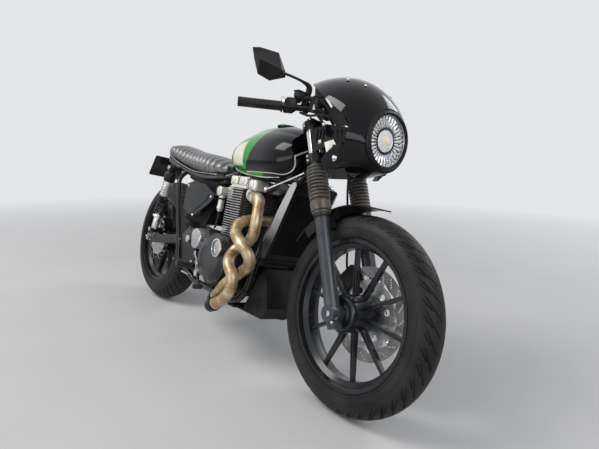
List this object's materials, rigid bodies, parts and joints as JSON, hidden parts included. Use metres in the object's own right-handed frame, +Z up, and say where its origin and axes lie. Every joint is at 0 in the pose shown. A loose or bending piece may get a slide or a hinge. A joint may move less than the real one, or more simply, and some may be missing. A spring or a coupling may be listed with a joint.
{
  "type": "cafe racer motorcycle",
  "caption": "Parallel-twin cafe racer motorcycle leaning on its side stand, with turning wheels, steering and a folding stand.",
  "frame": {"origin": "on the floor under the middle of the whole machine's box as it leans", "axes": "+X forward, +Y to the rider's left, +Z up; the machine leans to +Y"},
  "size_m": [2.0768, 0.739, 1.1579],
  "materials": {
    "frame_black": "satin black powder coat",
    "cover_black": "deep gloss black",
    "cover_grey": "dark metallic grey gloss",
    "tank_paint": "gloss black fading into metallic green with a cream panel",
    "engine_black": "wrinkle black",
    "engine_metal": "machined and cast",
    "engine_grey": "satin graphite",
    "header_steel": "golden heat-tinted steel with weld bands",
    "steel": "brushed",
    "chrome": "polished",
    "shock_silver": "silver body with a black cap",
    "rubber_black": "moulded rubber",
    "tyre_rubber": "road tyre",
    "seat_leather": "ribbed black-brown leather",
    "lens_clear": "fluted clear lens",
    "caliper_black": "black anodised",
    "plate_dark": "blank dark plate",
    "dial": "black instrument"
  },
  "bodies": {
    "chassis": {"main_frame": "frame_black", "swingarm": "frame_black", "rear_axle": "steel", "rear_shocks": "shock_silver", "crankcase": "engine_black", "cylinders": "engine_black", "cylinder_head": "engine_metal", "cam_cover": "engine_metal", "clutch_cover": "engine_grey", "alternator_cover": "engine_black", "drive_chain": "steel", "throttle_bodies": "engine_metal", "airbox": "engine_black", "side_covers": "cover_grey", "header_pipes": "header_steel", "radiator": "frame_black", "skid_plate": "frame_black", "fuel_tank": "tank_paint", "seat": "seat_leather", "seat_base": "frame_black", "plate_hanger": "frame_black", "number_plate": "plate_dark", "foot_controls": "frame_black", "rear_caliper": "caliper_black"},
    "steering": {"fork_legs": "frame_black", "stanchions": "chrome", "fork_gaiters": "rubber_black", "yokes": "engine_metal", "front_axle": "steel", "front_fender": "frame_black", "front_caliper": "caliper_black", "handlebar": "frame_black", "grips": "rubber_black", "hand_controls": "frame_black", "mirrors": "frame_black", "fairing": "cover_black", "headlamp": "frame_black", "lamp_lens": "lens_clear", "lamp_brackets": "frame_black", "instrument": "dial", "brake_hose": "rubber_black"},
    "front_wheel": {"front_wheel": "frame_black", "front_tyre": "tyre_rubber", "front_disc": "steel"},
    "rear_wheel": {"rear_wheel": "frame_black", "rear_tyre": "tyre_rubber", "rear_disc": "steel", "rear_sprocket": "steel"},
    "stand": {"side_stand": "frame_black"}
  },
  "joints": [
    {"name": "steering", "type": "hinge", "parent": "chassis", "child": "steering", "pos_m": [0.43576, -0.01226, 0.81], "axis": [-0.4239, 0.1883, 0.8859], "range_deg": [-35, 35]},
    {"name": "front_wheel_spin", "type": "hinge", "parent": "steering", "child": "front_wheel", "pos_m": [0.7205, -0.11804, 0.31225], "axis": [-0.0001, 0.9781, -0.2079], "continuous": true},
    {"name": "rear_wheel_spin", "type": "hinge", "parent": "chassis", "child": "rear_wheel", "pos_m": [-0.7185, -0.11762, 0.31465], "axis": [-0.0001, 0.9781, -0.2079], "continuous": true},
    {"name": "side_stand", "type": "hinge", "parent": "chassis", "child": "stand", "pos_m": [-0.11854, -0.02424, 0.18625], "axis": [0.1063, 0.6869, 0.7189], "range_deg": [0, 99]}
  ]
}
